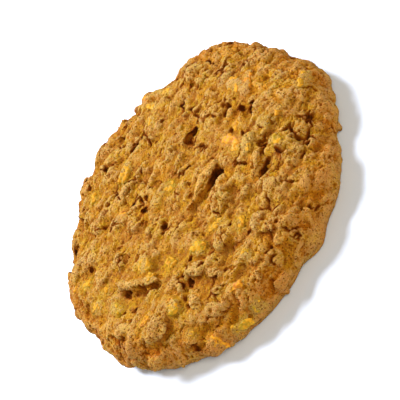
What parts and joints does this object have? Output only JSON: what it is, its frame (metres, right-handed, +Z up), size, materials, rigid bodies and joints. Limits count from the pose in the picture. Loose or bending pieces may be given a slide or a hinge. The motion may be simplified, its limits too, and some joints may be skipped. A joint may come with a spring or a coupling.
{
  "type": "oat and apple cookie",
  "caption": "Round soft-baked oat cookie with diced apple, lying flat on its smooth underside with the craggy side up.",
  "frame": {"origin": "middle of the flat underside, on the surface the cookie lies on", "axes": "+Z up through the craggy side; +X and +Y across the cookie"},
  "size_m": [0.081, 0.0822, 0.0149],
  "materials": {
    "crust": "dry baked oat dough, golden brown with yellow and orange apple pieces"
  },
  "bodies": {
    "root": {"cookie": "crust"}
  },
  "joints": []
}
